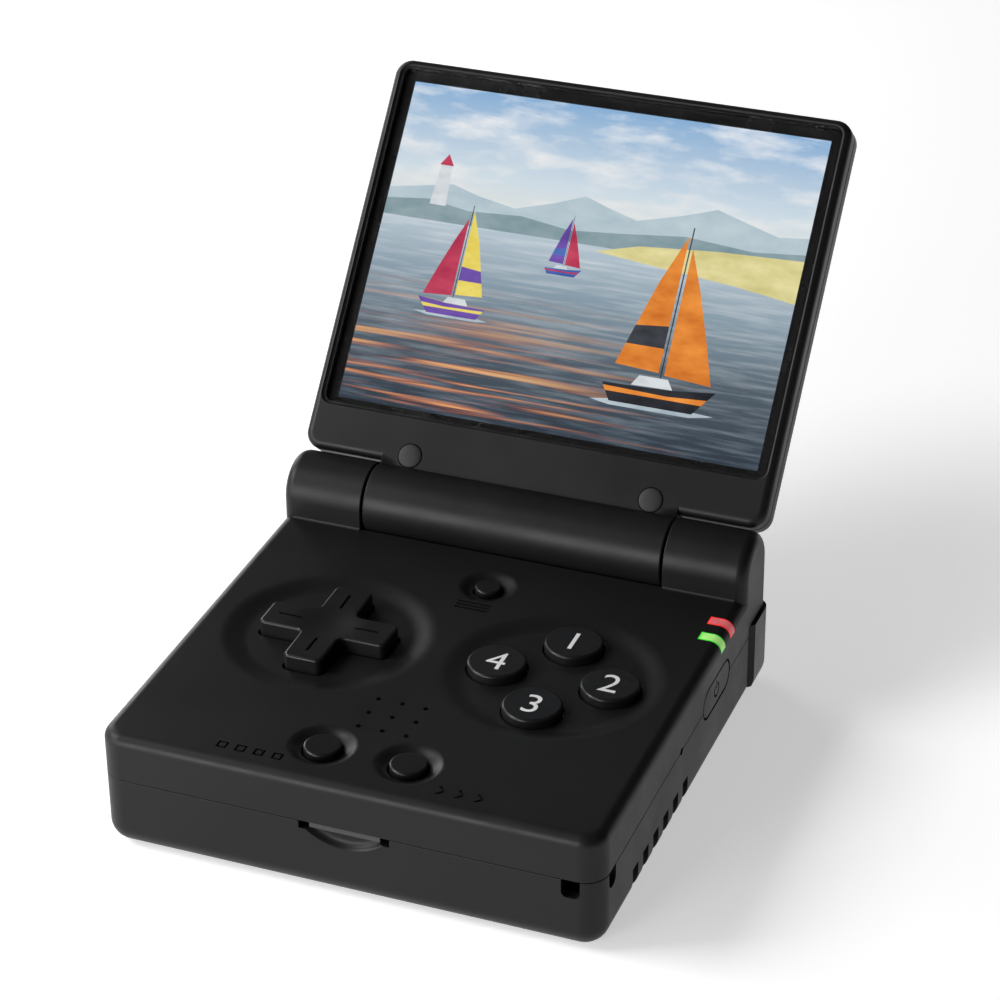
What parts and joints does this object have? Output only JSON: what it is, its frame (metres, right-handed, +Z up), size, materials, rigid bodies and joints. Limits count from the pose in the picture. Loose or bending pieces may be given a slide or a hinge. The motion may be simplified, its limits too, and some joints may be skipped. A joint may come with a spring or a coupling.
{
  "type": "clamshell handheld game console",
  "caption": "Square pocket game console that folds shut: a base with a directional pad, round buttons and shoulder buttons, and a hinged lid with a 4:3 screen.",
  "frame": {"origin": "centre of the base's flat underside, on the surface that it stands on", "axes": "+X to the player's right, along the hinge; +Y from the front edge to the hinge; +Z up from the underside to the deck"},
  "size_m": [0.079, 0.1227, 0.0783],
  "materials": {
    "case_plastic": "black moulded plastic with a fine satin texture",
    "button_plastic": "black satin plastic, a little glossier than the case",
    "soft_rubber": "soft dark grey rubber",
    "membrane_rubber": "grey silicone sheet",
    "lens_glass": "clear cover glass with a black printed border",
    "display_glass": "lit colour display",
    "board_laminate": "green circuit board",
    "steel": "bright pressed steel",
    "dark_steel": "blackened steel",
    "cell_wrap": "wrapped lithium cell",
    "inner_plastic": "dark moulded plastic",
    "red_light_plastic": "translucent red plastic",
    "green_light_plastic": "translucent green plastic"
  },
  "bodies": {
    "base": {"base_top_case": "case_plastic", "base_bottom_case": "case_plastic", "battery_cover": "case_plastic", "battery_cover_screw": "dark_steel", "case_screw_1": "dark_steel", "case_screw_2": "dark_steel", "case_screw_3": "dark_steel", "case_screw_4": "dark_steel", "battery_pack": "cell_wrap", "main_board": "board_laminate", "processor_shield": "steel", "speaker": "inner_plastic", "face_button_membrane": "membrane_rubber", "dpad_membrane": "membrane_rubber", "menu_membrane": "membrane_rubber", "select_membrane": "membrane_rubber", "start_membrane": "membrane_rubber", "red_light_pipe": "red_light_plastic", "green_light_pipe": "green_light_plastic", "card_socket": "steel", "usb_socket": "steel", "headphone_socket": "inner_plastic", "power_switch": "dark_steel", "volume_switch": "dark_steel", "shoulder_switch_left": "dark_steel", "shoulder_switch_right": "dark_steel", "shoulder_pin_left": "steel", "shoulder_pin_right": "steel", "hinge_shaft_left": "steel", "hinge_shaft_right": "steel"},
    "lid": {"lid_bezel": "case_plastic", "lid_back_cover": "case_plastic", "screen_lens": "lens_glass", "display_panel": "display_glass", "display_ribbon": "soft_rubber", "bumper_left": "soft_rubber", "bumper_right": "soft_rubber", "lid_screw_left": "dark_steel", "lid_screw_right": "dark_steel", "hinge_cam_left": "steel", "hinge_cam_right": "steel"},
    "face_button_top": {"face_button_top": "button_plastic"},
    "face_button_right": {"face_button_right": "button_plastic"},
    "face_button_bottom": {"face_button_bottom": "button_plastic"},
    "face_button_left": {"face_button_left": "button_plastic"},
    "dpad_rocker": {"dpad_pivot": "inner_plastic"},
    "dpad": {"dpad": "button_plastic"},
    "menu_button": {"menu_button": "button_plastic"},
    "select_button": {"select_button": "button_plastic"},
    "start_button": {"start_button": "button_plastic"},
    "power_button": {"power_button": "case_plastic"},
    "volume_rocker": {"volume_rocker": "case_plastic"},
    "shoulder_button_left": {"shoulder_button_left": "button_plastic"},
    "shoulder_button_right": {"shoulder_button_right": "button_plastic"},
    "memory_card": {"memory_card": "inner_plastic"}
  },
  "joints": [
    {"name": "lid_hinge", "type": "hinge", "parent": "base", "child": "lid", "pos_m": [0, 0.03308, 0.02247], "axis": [1, 0, 0], "range_deg": [-24, 130.85]},
    {"name": "face_button_top_press", "type": "slide", "parent": "base", "child": "face_button_top", "axis": [0, 0, -1], "range_m": [0, 0.0008], "stiffness_N_per_m": 400, "springref_m": -0.0002},
    {"name": "face_button_right_press", "type": "slide", "parent": "base", "child": "face_button_right", "axis": [0, 0, -1], "range_m": [0, 0.0008], "stiffness_N_per_m": 400, "springref_m": -0.0002},
    {"name": "face_button_bottom_press", "type": "slide", "parent": "base", "child": "face_button_bottom", "axis": [0, 0, -1], "range_m": [0, 0.0008], "stiffness_N_per_m": 400, "springref_m": -0.0002},
    {"name": "face_button_left_press", "type": "slide", "parent": "base", "child": "face_button_left", "axis": [0, 0, -1], "range_m": [0, 0.0008], "stiffness_N_per_m": 400, "springref_m": -0.0002},
    {"name": "dpad_tilt_front_back", "type": "hinge", "parent": "base", "child": "dpad_rocker", "pos_m": [-0.018, -0.0021, 0.017], "axis": [1, 0, 0], "range_deg": [-3, 3], "stiffness_Nm_per_rad": 0.2},
    {"name": "dpad_tilt_left_right", "type": "hinge", "parent": "dpad_rocker", "child": "dpad", "pos_m": [-0.018, -0.0021, 0.017], "axis": [0, 1, 0], "range_deg": [-3, 3], "stiffness_Nm_per_rad": 0.2},
    {"name": "menu_press", "type": "slide", "parent": "base", "child": "menu_button", "axis": [0, 0, -1], "range_m": [0, 0.0005], "stiffness_N_per_m": 400, "springref_m": -0.0002},
    {"name": "select_press", "type": "slide", "parent": "base", "child": "select_button", "axis": [0, 0, -1], "range_m": [0, 0.0005], "stiffness_N_per_m": 400, "springref_m": -0.0002},
    {"name": "start_press", "type": "slide", "parent": "base", "child": "start_button", "axis": [0, 0, -1], "range_m": [0, 0.0005], "stiffness_N_per_m": 400, "springref_m": -0.0002},
    {"name": "power_press", "type": "slide", "parent": "base", "child": "power_button", "axis": [-1, 0, 0], "range_m": [0, 0.0005], "stiffness_N_per_m": 400, "springref_m": -0.0002},
    {"name": "volume_rock", "type": "hinge", "parent": "base", "child": "volume_rocker", "pos_m": [-0.03645, 0.00713, 0.0124], "axis": [0, 0, 1], "range_deg": [-3, 3], "stiffness_Nm_per_rad": 0.1},
    {"name": "shoulder_left_press", "type": "hinge", "parent": "base", "child": "shoulder_button_left", "pos_m": [-0.0235, 0.03463, 0.0076], "axis": [0, 0, 1], "range_deg": [0, 3], "stiffness_Nm_per_rad": 0.3, "springref_deg": -2.86},
    {"name": "shoulder_right_press", "type": "hinge", "parent": "base", "child": "shoulder_button_right", "pos_m": [0.0235, 0.03463, 0.0076], "axis": [0, 0, -1], "range_deg": [0, 3], "stiffness_Nm_per_rad": 0.3, "springref_deg": -2.86},
    {"name": "card_slide", "type": "slide", "parent": "base", "child": "memory_card", "axis": [0, -1, 0], "range_m": [0, 0.014]}
  ]
}
